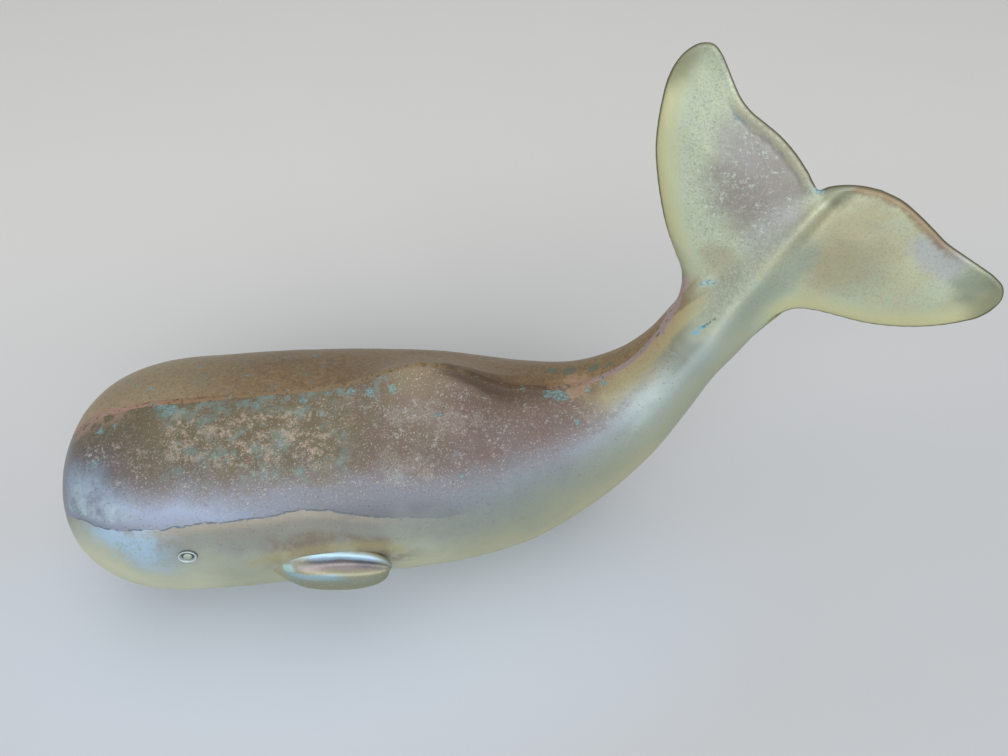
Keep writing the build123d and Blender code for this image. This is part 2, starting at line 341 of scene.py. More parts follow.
flankTones = {
    # colours down the side, each with its degrees from the back; the bluish sheen from about 46 to 62
    # degrees is partly painted sky reflection, the yellow low on the belly partly painted floor reflection,
    # and the stock's bright band mostly painted reflection
    "upper": ((0, (122, 106, 80)), (18, (114, 104, 80)), (32, (112, 102, 88)), (40, (114, 107, 106)),
              (47, (128, 134, 146)), (54, (142, 154, 174)), (62, (140, 148, 164))),
    "lower": ((48, (150, 146, 136)), (60, (144, 142, 132)), (72, (150, 154, 146)), (85, (182, 188, 170)),
              (100, (204, 206, 174)), (180, (166, 166, 132))),
    "rear": ((0, (112, 92, 72)), (18, (120, 102, 92)), (36, (124, 112, 110)), (46, (122, 121, 126)),
             (56, (131, 139, 143)), (70, (148, 156, 148)), (90, (168, 172, 148)), (110, (190, 188, 152))),
    "stock": ((0, (198, 174, 132)), (10, (196, 178, 134)), (20, (190, 180, 136)), (32, (186, 184, 160)),
              (46, (180, 190, 184)), (60, (180, 192, 186)), (80, (164, 176, 166)), (100, (172, 178, 154))),
    "far": ((0, (146, 118, 84)), (30, (150, 126, 92)), (60, (154, 138, 106)), (90, (158, 152, 124))),
}
bodyTones = {
    "mutedPaintedSheen": (114, 116, 122),
    "cheek": (170, 202, 226),
    "dimmedPaintedSheen": (112, 114, 120),
    "chalk": (138, 144, 126),
    "dimmedStockReflection": (120, 132, 142),
    "farStock": (170, 142, 98),
    "farEnd": (160, 132, 92),
    "grain": (104, 84, 58),
    "rubbed": (178, 148, 108),
    "snoutPaintedHighlight": (184, 206, 214),
    "snoutRim": (134, 126, 102),
    "tan": (130, 114, 94),
    "lowShade": (142, 146, 120),
    "finHalo": (178, 168, 118),
    "olive": (104, 98, 70),
    "purple": (120, 98, 90),
    "frontHaze": (138, 154, 144),
    "rearHaze": (170, 170, 158),
    "pale": (190, 172, 152),
    "farHead": (188, 172, 138),
    "rust": (96, 78, 52),
    "flecks": (186, 166, 146),
    "greyFlecks": (190, 186, 180),
    "speckle": (190, 186, 176),
    "pits": (72, 64, 50),
    "bloom": (128, 150, 144),
    "faintGreen": (122, 148, 142),
    "darkSalt": (92, 128, 130),
    "lightSalt": (130, 166, 164),
    "oldSalt": (94, 106, 86),
    "copper": (188, 154, 130),
    # painted shade in the fold behind the hump
    "fold": (78, 58, 38),
    "lacquerLine": (88, 98, 102),
    "lacquerEdgeHighlight": (172, 160, 142),
    "fine": (86, 82, 70),
}


def stockTones(r, around, far):
    # colours round the thin end of the stock, shared by the pieces that meet there; its bright blue-green
    # band is mostly painted reflection
    zone = r.waver(around, 28, 14)
    brown = r.over(r.ramp(zone, flankTones["far"], 180), bodyTones["farEnd"], 0.7)
    stock = r.mix(r.both(far, r.rise(zone, 86, 54)), r.ramp(zone, flankTones["stock"], 180), brown)
    return r.over(stock, bodyTones["chalk"], r.between(around, 20, 30, 56, 70), 0.7)


def bodyPatina():
    # layers of colour; along is millimetres from the snout, a zone is degrees down from the back,
    # and an edge is millimetres above the lacquer's edge
    t = bodyTones
    r = Recipe("bodyPatina", t)
    names = ("along", "around", "girth", "far", "tide", "spots", "copper", "fold", "haze", "fin")
    along, around, girth, far, tide, spots, copper, crease, hazeGap, fin = [r.field(name) for name in names]
    near = r.opposite(far)
    zone = r.sum("ADD", r.waver(around, 28, 14), r.span(r.between(along, 4, 20, 24, 60), 0, 18))
    edge = r.waver(r.waver(tide, 9, 2.2, 5), 1.4, 0.5, 2)
    reach = r.waver(along, 30, 40)
    farTop = r.both(far, r.rise(zone, 80, 50))
    back = r.both(r.rise(zone, 48, 34), near)

    # a sheen above the lacquer's edge, partly painted sky reflection; bare metal below it, its yellow belly
    # partly painted floor reflection; then the browner rear and the stock, whose bright band is mostly
    # painted reflection, dimmed in places
    parts = ("upper", "lower", "rear", "stock", "far")
    upper, lower, rear, stock, brown = [r.ramp(zone, flankTones[part], 180) for part in parts]
    r.colour = r.over(upper, t["mutedPaintedSheen"], r.rise(zone, 40, 48), r.rise(along, 76, 124), 0.9)
    cheek = r.both(r.between(along, 16, 27, 46, 68), r.between(zone, 58, 66, 78, 92))
    lower = r.over(lower, t["cheek"], cheek, r.patches(9, 0.28, 0.56, 6, 0.7, 3), 0.85)
    r.cover(lower, r.rise(edge, 0.5, -0.5))
    r.cover(rear, r.rise(reach, 150, 200))
    # the painted sheen made darker along the rear flank
    r.paint("dimmedPaintedSheen", r.between(along, 118, 140, 165, 190), r.between(zone, 38, 46, 56, 66), 0.6)
    stock = r.over(stock, t["chalk"], r.rise(along, 300, bodyLength), r.between(around, 20, 30, 56, 70), 0.7)
    # the stock's painted reflection made darker short of the joint
    dull = r.both(r.between(along, 232, 252, 278, 304), r.between(zone, 30, 42, 60, 74))
    r.cover(r.over(stock, t["dimmedStockReflection"], dull, 0.55), r.rise(reach, 250, 292))
    brown = r.over(brown, t["farStock"], r.rise(along, 236, 284), 0.7)
    r.cover(brown, far, r.rise(zone, 86, 54))
    r.paint("grain", farTop, r.patches(2.2, 0.44, 0.6, 8, 0.85, 11), 0.55)
    r.paint("rubbed", farTop, r.patches(3, 0.5, 0.6, 8, 0.85, 12), 0.5)

    # painted highlight on the snout with an olive rim, a browner band some way under the lacquer's edge,
    # painted shade low on the flank, a clean halo round the flipper
    bright = r.both(r.between(along, 10, 18, 30, 52), r.rise(zone, 46, 58), r.rise(edge, 1, 5), near)
    r.paint("snoutPaintedHighlight", bright, r.patches(8, 0.34, 0.66, 6, 0.7), 0.85)
    r.paint("snoutRim", r.rise(r.waver(along, 9, 5, 5), 16, 8), r.rise(zone, 74, 52), 0.5)
    tan = r.both(r.between(edge, -36, -24, -13, -8), r.between(along, 92, 108, 152, 170), near)
    r.paint("tan", tan, r.span(r.patches(12, 0.4, 0.6, 5, 0.7), 0.15, 0.75))
    r.paint("lowShade", r.between(along, 62, 86, 110, 150), r.rise(zone, 76, 90), near, 0.4)
    r.paint("finHalo", r.rise(r.waver(fin, 5, 2), 5.5, 0.5), near, 0.5)

    # blotches on the back: olive, purple brown, grey haze and pale patches
    r.paint("olive", back, r.between(along, 56, 66, 128, 150), r.patches(9, 0.4, 0.6, 5), 0.4)
    purple = r.both(back, r.rise(reach, 135, 160), r.rise(along, 262, 240))
    r.paint("purple", purple, r.patches(17, 0.42, 0.62, shift=2), 0.6)
    rearward = r.rise(along, 125, 140)
    haze = r.both(r.rise(r.waver(hazeGap, 7, 9, 6, 0.75, 5), 1.5, -3), r.patches(0.9, 0.4, 0.58, 5, 0.8, 5))
    r.cover(r.blend(rearward, "frontHaze", "rearHaze"), haze, near, r.span(rearward, 0.65, 0.38))
    pale = r.both(back, r.between(along, 54, 64, 122, 145), r.between(zone, 3, 8, 28, 38))
    r.paint("pale", pale, r.patches(5, 0.5, 0.58, 8, 0.85, 3), r.patches(1.2, 0.36, 0.52, 5, 0.8, 2), 0.85)
    r.paint("farHead", far, r.rise(along, 110, 40), 0.6)
    r.paint("rust", farTop, r.patches(1.4, 0.48, 0.62, 6, 0.8), 0.4)

    # pale flecks in loose clusters, few on the head, then fine speckle and pits
    bald = r.both(r.rise(along, 64, 58), r.rise(zone, 32, 22), 0.85)
    flecks = r.both(r.patches(2.6, 0.53, 0.58, 8, 0.85), r.patches(15, 0.4, 0.6, shift=7))
    flecks = r.both(flecks, r.rise(zone, 55, 42), r.rise(girth, 3, 8), near, r.opposite(bald))
    greyer = r.sum("MAXIMUM", r.rise(zone, 24, 38), r.rise(along, 130, 165))
    r.cover(r.blend(greyer, "flecks", "greyFlecks"), flecks, 0.7)
    r.paint("speckle", r.patches(0.8, 0.6, 0.68, 2, shift=4), r.rise(zone, 60, 44), near, 0.6)
    r.paint("pits", r.patches(0.9, 0.6, 0.7, 2, shift=9), r.rise(zone, 110, 50), 0.45)

    # green salts beside the seam and in the listed spots
    bloom = r.both(r.patches(6, 0.46, 0.62, 6, 0.7, 1), r.between(along, 48, 60, 148, 168))
    r.paint("bloom", bloom, r.rise(girth, 14, 3), near, 0.7)
    faint = r.both(r.patches(8, 0.5, 0.64, 7, 0.75, 8), r.between(along, 54, 68, 120, 160))
    r.paint("faintGreen", faint, r.rise(zone, 44, 36), r.span(far, 0.6, 0.25))
    oval = r.both(far, r.rise(along, 200, 220))
    crumbs = r.sum("MAXIMUM", r.patches(1.4, 0.38, 0.5, 6, 0.8, 6), oval)
    spot = r.both(r.rise(r.waver(spots, 2.6, 3.5), 0.5, -0.6), crumbs)
    salt = r.blend(r.patches(1.1, 0.42, 0.58, 3), "darkSalt", "lightSalt")
    r.cover(r.over(salt, t["oldSalt"], oval), spot, 0.85)

    # pink copper at the snout and on the tail's top, painted shade in the fold behind the hump and beside
    # the seam on the far side, the lacquer's edge with a painted highlight just under it
    snout = r.both(r.rise(girth, 9, 2), r.between(along, 8, 16, 34, 50), r.patches(4, 0.42, 0.54), 0.8)
    broken = r.span(r.patches(1.4, 0.4, 0.58, 6, 0.8), 0.25, 0.75)
    splash = r.both(r.rise(r.waver(copper, 3, 4), 0.6, -0.6), broken)
    r.paint("copper", r.sum("MAXIMUM", snout, splash), 0.8)
    farFoldShade = r.both(far, r.rise(girth, 7, 1), r.between(along, 174, 186, 238, 264), 0.7)
    r.paint("fold", r.span(r.sum("MAXIMUM", crease, farFoldShade), 0, 0.64))
    line = r.both(r.rise(r.sum("ABSOLUTE", edge), 0.5, 0.15), r.between(along, 14, 20, 146, 160), near)
    r.paint("lacquerLine", line, r.patches(4, 0.36, 0.52, 3), 0.8)
    lacquerEdgeHighlight = r.both(r.between(edge, -5, -2, -0.8, -0.4), r.between(along, 30, 60, 140, 165), near)
    r.paint("lacquerEdgeHighlight", lacquerEdgeHighlight, r.span(r.noise(6, 5, 0.7), 0.0, 0.7))
    r.paint("fine", r.span(r.noise(0.6, 3), 0.0, 0.24))

    crust = r.sum("MAXIMUM", spot, flecks)
    relief = r.bump(line, -0.06, r.bump(crust, 0.04, r.bump(r.noise(1, 4), 0.05)))
    return r.finish(r.span(crust, 0.45, 0.05), r.span(crust, 0.46, 0.75), relief)


flukeTones = {
    "olive": (184, 186, 154),
    "green": (180, 190, 164),
    "upperLobe": (186, 200, 174),
    "white": (210, 216, 202),
    "speckle": (122, 130, 116),
    "ridge": (144, 150, 130),
    "chalk": (202, 204, 188),
    # leading rims: polished metal with a painted highlight
    "leadRim": (208, 206, 156),
    "lip": (164, 162, 134),
    "groove": (136, 130, 122),
    "grooveEnd": (98, 130, 132),
    # painted shade in the notch
    "notch": (106, 106, 82),
    "brownEdge": (132, 104, 74),
    "darkerTips": (116, 120, 98),
    "outline": (92, 86, 58),
    "scar": (184, 162, 160),
    "scarPits": (96, 84, 76),
    "darkSalt": (110, 152, 162),
    "lightSalt": (166, 196, 198),
    "streak": (112, 176, 194),
    "streakEnd": (62, 66, 54),
    "fine": (92, 92, 74),
    # blotches: middle and size as span and distance along the tail, then the colour and its share
    "blotches": (
        ((23, 70), (20, 20), (146, 138, 133), 0.95),
        ((38, 80), (13, 10), (154, 148, 148), 0.7),
        ((-18, 72), (20, 20), (164, 156, 124), 0.75),
        ((14, 37), (10, 7), (164, 152, 122), 0.55),
        ((9, 58), (7, 14), (164, 163, 166), 0.6),
        ((-8, 40), (7, 28), (152, 166, 152), 0.7),
        ((-47, 88), (13, 8), (166, 170, 172), 0.8),
        ((-64, 87), (10, 9), (132, 142, 120), 0.85),
    ),
}


def flukePatina():
    # layers of colour; across is the span from the tail's middle, down the distance from the joint,
    # lead and trail the distances from the two edges, all in millimetres
    r = Recipe("flukePatina", flukeTones)
    names = ("leadEdge", "trailEdge", "spanwise", "tailward", "around", "far", "spots", "streak", "scar")
    lead, trail, across, down, around, far, spots, streak, scar = [r.field(name) for name in names]

    def blob(middle, size):
        # 0 at the rim of a ragged ellipse of span and distance, 1 well inside it
        return r.rise(r.waver(r.ellipse(across, down, middle, size), 8, 1, 6, 0.7), 1.6, 0.1)

    r.colour = r.blend(r.patches(26, 0.42, 0.58), "olive", "green")
    upperLobe = r.rise(across, 2, 8)
    r.paint("upperLobe", upperLobe, 0.6)
    for middle, size, shade, share in flukeTones["blotches"]:
        r.cover(tone(*shade), blob(middle, size), share)

    # white and dark speckle, thick along the ridge
    ridge = r.both(blob((5, 34), (6, 30)), r.rise(down, 4, 14))
    dust = r.sum("MAXIMUM", r.both(upperLobe, r.patches(12, 0.38, 0.52, shift=3)), ridge)
    clean = r.opposite(blob((14, 37), (12, 9)))
    white = r.both(r.patches(1.6, 0.52, 0.58, 7, 0.85), dust, clean, r.rise(lead, 8, 14))
    r.paint("white", white, 0.85)
    dark = r.both(r.patches(0.9, 0.51, 0.61, 4, 0.8, 2), r.rise(lead, 3, 14))
    r.paint("speckle", dark, r.span(upperLobe, 0.35, 0.5))
    r.paint("ridge", ridge, 0.65)
    r.paint("chalk", r.patches(1.3, 0.48, 0.56, 7, 0.85, 1), ridge, 0.45)

    # stock colours at the joint, partly painted reflection, then the rims, the leading ones partly a painted
    # highlight
    start = r.rise(r.waver(down, 9, 12), 32, 8)
    r.cover(stockTones(r, around, far), start, r.opposite(r.both(ridge, 0.7)))
    r.paint("leadRim", r.rise(lead, 11, 2), r.rise(down, 20, 40), 0.9)
    inside = r.between(across, 6, 13, 46, 56)
    ragged = r.waver(trail, 5, 3.5, 6, 0.75)
    r.paint("lip", r.rise(ragged, 4.8, 2.8), inside, 0.7)
    groove = r.rise(r.sum("ABSOLUTE", r.sum("SUBTRACT", ragged, tail["groove"][0])), 1.2, 0.2)
    r.cover(r.blend(r.rise(across, 38, 46), "groove", "grooveEnd"), groove, inside, 0.65)
    # painted shade in the notch
    r.paint("notch", blob((0, 85), (7, 6)), 0.6)
    r.paint("brownEdge", r.rise(ragged, 4.2, 1.2), r.between(across, -56, -40, -6, -2), 0.8)
    tips = r.both(r.rise(r.sum("ADD", trail, lead), 26, 8), r.rise(r.sum("ABSOLUTE", across), 50, 66))
    r.paint("darkerTips", tips, r.rise(ragged, 15, 2), 0.75)
    outline = r.sum("MAXIMUM", r.rise(lead, 1.2, 0.3), r.rise(trail, 0.8, 0.1))
    r.paint("outline", outline, r.rise(down, 26, 40), 0.9)

    # the smeared braze, green salts and the green streak
    pitted = r.blend(r.both(r.patches(1.6, 0.56, 0.64), 0.6), "scar", "scarPits")
    r.cover(pitted, r.rise(r.waver(scar, 2.5, 1.6, 5, 0.7), 1.8, 0.9), 0.85)
    spot = r.rise(r.waver(spots, 2.4, 3), 0.5, -0.6)
    r.cover(r.blend(r.patches(1.1, 0.42, 0.58, 3), "darkSalt", "lightSalt"), spot, 0.85)
    frayed = r.waver(streak, 2, 1.6, 4, 0.7)
    r.paint("streak", r.rise(frayed, 0.9, 0.25), r.rise(down, 19, 14), 0.9)
    r.paint("streakEnd", r.rise(frayed, 0.35, 0.05), r.rise(down, 13, 16), 0.8)
    r.paint("fine", r.span(r.noise(0.6, 3), 0.0, 0.2))

    crust = r.sum("MAXIMUM", r.sum("MAXIMUM", spot, white), r.both(ridge, 0.8))
    relief = r.bump(crust, 0.03, r.bump(r.noise(1, 4), 0.05))
    return r.finish(r.span(crust, 0.45, 0.05), r.span(crust, 0.45, 0.75), relief)


brazeTones = {
    # colours from the snout to the joint, each with its share of the body's length
    "along": ((0, (160, 128, 106)), (0.1, (184, 150, 132)), (0.17, (160, 128, 98)), (0.3, (142, 118, 86)),
              (0.45, (150, 130, 98)), (0.53, (150, 128, 94)), (0.6, (98, 76, 54)), (0.76, (104, 80, 56)),
              (0.82, (156, 126, 100)), (0.9, (180, 156, 152)), (1, (182, 160, 158))),
    "atJoint": (180, 158, 156),
    "jointGrain": (86, 82, 70),
    "salt": (130, 166, 164),
    "pits": (64, 56, 46),
    "fine": (92, 78, 60),
}


def brazeFinish():
    r = Recipe("brazeFinish", brazeTones)
    along = r.waver(r.field("along"), 9, 24)
    r.colour = r.ramp(r.sum("DIVIDE", along, bodyLength), brazeTones["along"])
    pits = r.patches(1.6, 0.56, 0.64)
    r.paint("pits", pits, 0.55)
    r.paint("salt", r.patches(5, 0.58, 0.64, shift=4), r.patches(1, 0.42, 0.55, 2), 0.7)
    r.paint("fine", r.span(r.noise(0.7, 3), 0.0, 0.3))
    return r.finish(0.4, 0.5, r.bump(pits, -0.15, r.bump(r.noise(1, 3), 0.08)))


def jointFinish():
    r = Recipe("jointFinish", brazeTones)
    around = r.field("around")
    r.colour = stockTones(r, around, r.field("far"))
    r.paint("atJoint", r.rise(around, 8, 5))
    r.paint("jointGrain", r.span(r.noise(0.6, 3), 0.0, 0.24))
    return r.finish(0.45, 0.46, r.bump(r.noise(1, 4), 0.06))


eyeTones = {
    # colours from the middle of the boss to the rim, each with its share of the radius; the pale blue band
    # on the raised ring is a painted highlight
    "outward": ((0, (176, 182, 160)), (0.36, (186, 196, 184)), (0.5, (84, 88, 74)), (0.62, (78, 84, 76)),
                (0.74, (196, 212, 216)), (0.9, (206, 222, 226)), (1, (96, 104, 100))),
    "fine": (110, 112, 94),
}


def eyeFinish():
    r = Recipe("eyeFinish", eyeTones)
    r.colour = r.ramp(r.sum("DIVIDE", r.field("radius"), eye["radius"]), eyeTones["outward"])
    r.paint("fine", r.span(r.noise(0.6, 3), 0.0, 0.3))
    return r.finish(0.5, 0.32, r.bump(r.noise(0.7, 3), 0.03))


flipperTones = {
    # colours down the outer face, from the upper edge at 0 to the lower edge at 1; the pale blue near the
    # upper edge is a painted highlight, and the face is darker in the hollow below it
    "down": ((0, (150, 146, 108)), (0.05, (168, 188, 192)), (0.12, (172, 206, 228)),
             (0.2, (150, 174, 192)), (0.26, (106, 104, 112)), (0.33, (134, 126, 128)),
             (0.42, (152, 140, 138)), (0.5, (152, 148, 118)), (0.56, (152, 152, 124)),
             (0.7, (140, 147, 132)), (0.86, (138, 142, 118)), (1, (150, 146, 108))),
    # painted shade at the end of the hollow
    "dark": (80, 84, 94),
    "streak": (146, 184, 206),
    "bare": (150, 148, 118),
    "root": (142, 172, 164),
    "front": (162, 160, 124),
    "glint": (172, 216, 208),
    "tip": (136, 140, 112),
    "dust": (190, 182, 174),
    "fine": (92, 90, 82),
}


def flipperFinish():
    # across goes from -1 at the upper edge to 1 at the lower one, share from 0 at the front to 1 at the tip
    r = Recipe("flipperFinish", flipperTones)
    across, share, facing = [r.field(name) for name in ("across", "share", "facing")]
    waved = r.waver(across, 9, 0.16, 3)
    frayed = r.waver(share, 4, 0.1, 5, 0.7)
    r.colour = r.ramp(r.sum("ADD", r.sum("MULTIPLY", waved, 0.5), 0.5), flipperTones["down"])

    # painted shade at the dark end of the hollow, a blue streak under the ridge, and bare metal on the upper
    # front and inside
    r.paint("dark", r.rise(frayed, 0.68, 0.8), r.between(waved, -0.62, -0.5, -0.25, -0.05), 0.6)
    r.paint("streak", r.between(waved, 0.0, 0.1, 0.26, 0.42), r.rise(frayed, 0.72, 0.5), 0.65)
    r.paint("bare", r.rise(frayed, 0.46, 0.28), r.rise(waved, -0.1, -0.4), 0.75)
    r.paint("bare", r.opposite(facing))

    # olive front with a green glint, dull tip, dust
    r.paint("root", r.rise(share, 0.36, 0.17), r.patches(5, 0.38, 0.55), 0.35)
    r.paint("front", r.rise(share, 0.22, 0.1), 0.85)
    glint = r.waver(r.ellipse(share, waved, (0.19, -0.1), (0.06, 0.28)), 2.4, 1.2, 5, 0.7)
    r.paint("glint", r.rise(glint, 1.0, 0.1), facing, 0.75)
    r.paint("tip", r.rise(share, 0.84, 0.96), 0.7)
    r.paint("dust", r.patches(1, 0.56, 0.64, 2), 0.2)
    r.paint("fine", r.span(r.noise(0.6, 3), 0.0, 0.25))
    return r.finish(0.5, 0.42, r.bump(r.noise(0.9, 3), 0.05))


# Body skin, the same form as the half shells

body = {
    "gaps": (66, 39, 39, 36, 30, 27, 28, 31, 25),  # between stations, from the snout
    "back": (51, 52.5, 50.5, 46, 41.5, 38, 28, 18.5, 17.5),
    "belly": (53.3, 53.3, 53.3, 53.3, 51.5, 41, 29, 19.5, 17.5),
    "halfWidth": (59, 58, 56.5, 54, 47.5, 38, 29.5, 22, 17.5),
    "nosePower": 2.48,
    "spineHeight": 51.5,
    "bendStart": 200,
    "bendRadius": 91.5,
    "bendEase": 44,  # length over which the bend starts and ends
    "tailLift": np.radians(62),
    "humpAt": 173,
    "humpHeight": 17.5,
    "humpFront": 29,
    "humpRear": 40,
    "humpHalfWidth": 30,
    "roundEnd": (40, 5),  # before the stock's end, where its section turns round
    "wall": 2.5,
    "seamWidth": 3,
    "firstSection": 0.198,  # the solid starts this far behind the tip of the snout
    "noseRows": 80,
    "bodyRows": 240,
    "columns": 111,
    "lumpDepth": 0.35,
    "lumpSizes": (16, 6),
    "lumpRim": 12,  # the lumps fade out this close to the seam
    "lumpEnd": 20,  # and this close to the stock's end
    "snoutTurn": (22, 4),  # from here forward the patina follows heights, not sections
}
bodyLength = float(np.sum(body["gaps"]))
noseLength = body["gaps"][0]
halfSeam = body["seamWidth"] / 2
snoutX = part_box("back_seam_braze")[0].x / mm - body["firstSection"]


def stationCurve(along, values):
    # cubic through the stations, with slopes taken from both neighbours and level ends
    places = np.cumsum(body["gaps"])
    v = np.array(values, float)
    slopes = np.zeros(len(v))
    slopes[1:-1] = (v[2:] - v[:-2]) / (places[2:] - places[:-2])
    return curveThrough(places, v, slopes, along)


def spineLine():
    # the spine added up in small steps: level, then a bend that eases in and out, then straight
    step = 0.25
    along = np.arange(0, bodyLength + 1, step)
    bendEnd = body["bendStart"] + body["bendRadius"] * body["tailLift"]
    half = body["bendEase"] / 2
    starting = np.clip((along - body["bendStart"] + half) / body["bendEase"], 0, 1)
    ending = np.clip((along - bendEnd + half) / body["bendEase"], 0, 1)
    turn = np.cumsum((starting - ending) / body["bendRadius"]) * step
    x = np.concatenate([[0], np.cumsum(np.cos(turn))[:-1]]) * step
    z = np.concatenate([[0], np.cumsum(np.sin(turn))[:-1]]) * step + body["spineHeight"]
    return along, x, z, turn


spine = spineLine()


def spinePlace(along, across, up):
    # point beside the spine at a distance along it
    x, z, turn = (np.interp(along, spine[0], line) for line in spine[1:])
    return np.stack(np.broadcast_arrays(snoutX + x - up * np.sin(turn), across, z + up * np.cos(turn)), -1)


def skin(along, angle, inset=0.0):
    # half ellipse in each section, shrunk to the superellipse snout, with the hump added on the back
    t = np.clip((noseLength - along) / (noseLength - inset), 0, 1)
    share = (1 - t ** body["nosePower"]) ** (1 / body["nosePower"])
    belly = stationCurve(along, body["belly"])
    if inset:
        belly = np.minimum(belly, body["spineHeight"])
    tall = np.where(angle < 90, stationCurve(along, body["back"]), belly)
    wide = stationCurve(along, body["halfWidth"]) - halfSeam - inset
    out = wide * share * np.sin(np.radians(angle))
    away = along - body["humpAt"]
    length = np.where(away < 0, body["humpFront"], body["humpRear"])
    hump = body["humpHeight"] * np.exp(-(away / length) ** 2)
    crest = np.maximum(0, 1 - out / body["humpHalfWidth"]) ** 2
    up = (tall - inset) * share * np.cos(np.radians(angle))
    across = (halfSeam + out) / (wide + halfSeam)
    rounded = (tall - inset) * np.sqrt(np.maximum(0, 1 - across ** 2)) * np.sign(90 - angle)
    turnStart, turnEnd = body["roundEnd"]
    up = up + (rounded - up) * ease(bodyLength - turnStart, bodyLength - turnEnd, along)
    up = up + np.where(angle < 90, hump * share * crest, 0)
    return spinePlace(along, -halfSeam - out, up)


def skinRows(inset):
    # distances along the spine, even round the snout's curve and then even along the body
    turn = np.linspace(0, np.pi / 2, body["noseRows"], endpoint=False)
    nose = inset + (noseLength - inset) * (1 - np.cos(turn) ** (2 / body["nosePower"]))
    return np.concatenate([nose, np.linspace(noseLength, bodyLength, body["bodyRows"])])


patina = {
    # places on the skin as distance along and degrees down from the back, then a radius
    "verdigris": ((20.6, 52, 1.5), (17, 50, 1.1), (59, 3, 3.4), (54, 0.5, 2.0), (29, 26, 1.5), (29, 9, 1.6),
                  (36, 8, 1.3), (247, 3, 2.6), (253, 5, 3.0), (257, 8, 2.2), (259, 34, 0.9), (185, 33, 1.1),
                  (186, 45, 0.9), (177, 16, 1.4), (272, 6, 1.8), (281, 6, 1.8), (86, 30, 1.0), (98, 5, 1.6),
                  (118, 4, 1.8), (148, 5, 2.2), (158, 6, 1.9), (140, 3, 1.5)),
    "farVerdigris": ((252, 20, 2.6), (262, 18, 3.2), (277, 14, 2.8), (286, 10, 1.6), (48, 9, 1.6),
                     (40, 14, 1.3), (33, 22, 1.5), (66, 24, 1.2), (92, 12, 1.2), (120, 28, 1.5),
                     (205, 40, 1.6)),
    "copper": ((264, 4, 4.0), (270, 2, 3.0)),
    "haze": ((158, 16, 5), (166, 14, 5), (174, 15, 5), (184, 19, 6), (196, 18, 4), (178, 22, 4),
             (155, 35, 6), (157, 40, 6), (167, 37, 6), (170, 41, 5), (76, 15, 5), (109, 25, 6),
             (100, 4, 4), (82, 24, 3), (140, 5, 4)),
    # lines on the skin as pairs of distance along and degrees: over the flipper, and the old lacquer's edge
    "finHalo": ((92, 84), (100, 82), (108, 80.5), (118, 79), (130, 78.5), (142, 79.5), (150, 81.5),
                (156, 86)),
    "lacquerEdge": ((0, 74), (8, 68), (14, 61), (20, 56), (26, 57), (39, 59.5), (56, 58.5), (74, 57),
                    (91, 58), (103, 57), (116, 55.5), (129, 57), (141, 61), (151, 63), (170, 66),
                    (330, 70)),
}
fold = {
    # the crease beside the seam behind the hump
    "depth": 0.9,
    "along": (172, 184, 215, 262),  # starts, full, fades, ends
    "beside": (2.2, 5.2),  # distance from the seam in front and behind
    "parts": (176, 215),  # where it moves from the one to the other
    "width": 0.8,  # as a share of that distance
    "rim": 3,
}
farOff = 50.0  # millimetres, for what has no mark near it
markPoints = {"fin": 120, "tail": 80, "edge": 500, "notch": 400}  # along finely drawn lines


def nearSpots(points, spots):
    # millimetres from each point to the rim of the nearest spot, negative inside it
    best = np.full(points.shape[:-1], farOff)
    for along, angle, radius in spots:
        centre = skin(np.array(float(along)), np.array(float(angle)))
        best = np.minimum(best, np.linalg.norm(points - centre, axis=-1) - radius)
    return best


def foldShare(along, girth):
    # bell curve across a line that leaves the seam, eased in and out along the back
    first, last = fold["beside"]
    middle = first + (last - first) * ease(*fold["parts"], along)
    start, full, fade, end = fold["along"]
    bell = np.exp(-((girth - middle) / (fold["width"] * middle)) ** 2)
    return bell * ease(start, full, along) * (1 - ease(fade, end, along))


def halfShell(side, material):
    # a ring for each row: the outer skin from back to belly, then the inner skin back up
    angles = np.linspace(0, 180, body["columns"])
    along = skinRows(0)[:, None]
    plain = skin(along, angles[None, :])
    step = np.linalg.norm(np.diff(plain, axis=1), axis=-1)
    girth = np.concatenate([np.zeros((len(plain), 1)), np.cumsum(step, axis=1)], axis=1)
    crease = foldShare(along, girth)
    bulge = castLumps(plain, *body["lumpSizes"], seed=3)
    bulge = bulge * ease(0, body["lumpRim"], girth) * ease(bodyLength, bodyLength - body["lumpEnd"], along)
    raised = bulge * body["lumpDepth"] - crease * fold["depth"] * ease(0, fold["rim"], girth)
    outer = plain + normals(plain) * raised[..., None]
    outer[..., 2] = np.maximum(outer[..., 2], 0)
    inner = skin(skinRows(body["wall"])[:, None], angles[None, ::-1], body["wall"])
    ring = np.concatenate([outer, inner], axis=1)
    edgeAngle = np.interp(along, *np.array(patina["lacquerEdge"], float).T)
    above = (plain[..., 2] - body["spineHeight"]) / body["back"][0]
    lookDown = np.degrees(np.arccos(np.clip(above, -1, 1)))
    turned = angles + (lookDown - angles) * ease(*body["snoutTurn"], along)
    height = np.interp(along, np.cumsum(body["gaps"]), body["back"])
    skinFields = {
        "along": along + 0 * girth,
        "around": turned,
        "girth": girth,
        "far": np.full_like(girth, (side + 1) / 2),
        "tide": (edgeAngle - turned) * np.radians(height),
        "spots": nearSpots(plain, patina["verdigris"] if side < 0 else patina["farVerdigris"]),
        "copper": nearSpots(plain, patina["copper"]),
        "fold": crease * (side < 0),
        "haze": nearSpots(plain, patina["haze"]),
        "fin": nearest(plain, skin(*spline(patina["finHalo"], markPoints["fin"]).T)),
    }
    fields = {key: np.concatenate([v, v[:, ::-1]], axis=1) for key, v in skinFields.items()}
    rows, columns = ring.shape[:2]
    end = capFaces((rows - 1) * columns, columns)
    sidePiece(side, ring, "Shell", "_half_shell", material, fields, [end])


bodyBrass = bodyPatina()
for side in (-1, 1):
    halfShell(side, bodyBrass)


# Braze along the back and the belly

seam = {
    "crown": 0.12,
    "columns": 9,
    "depth": 2.5,
    "lumpSize": 2.5,
    "roughness": 0.35,
}


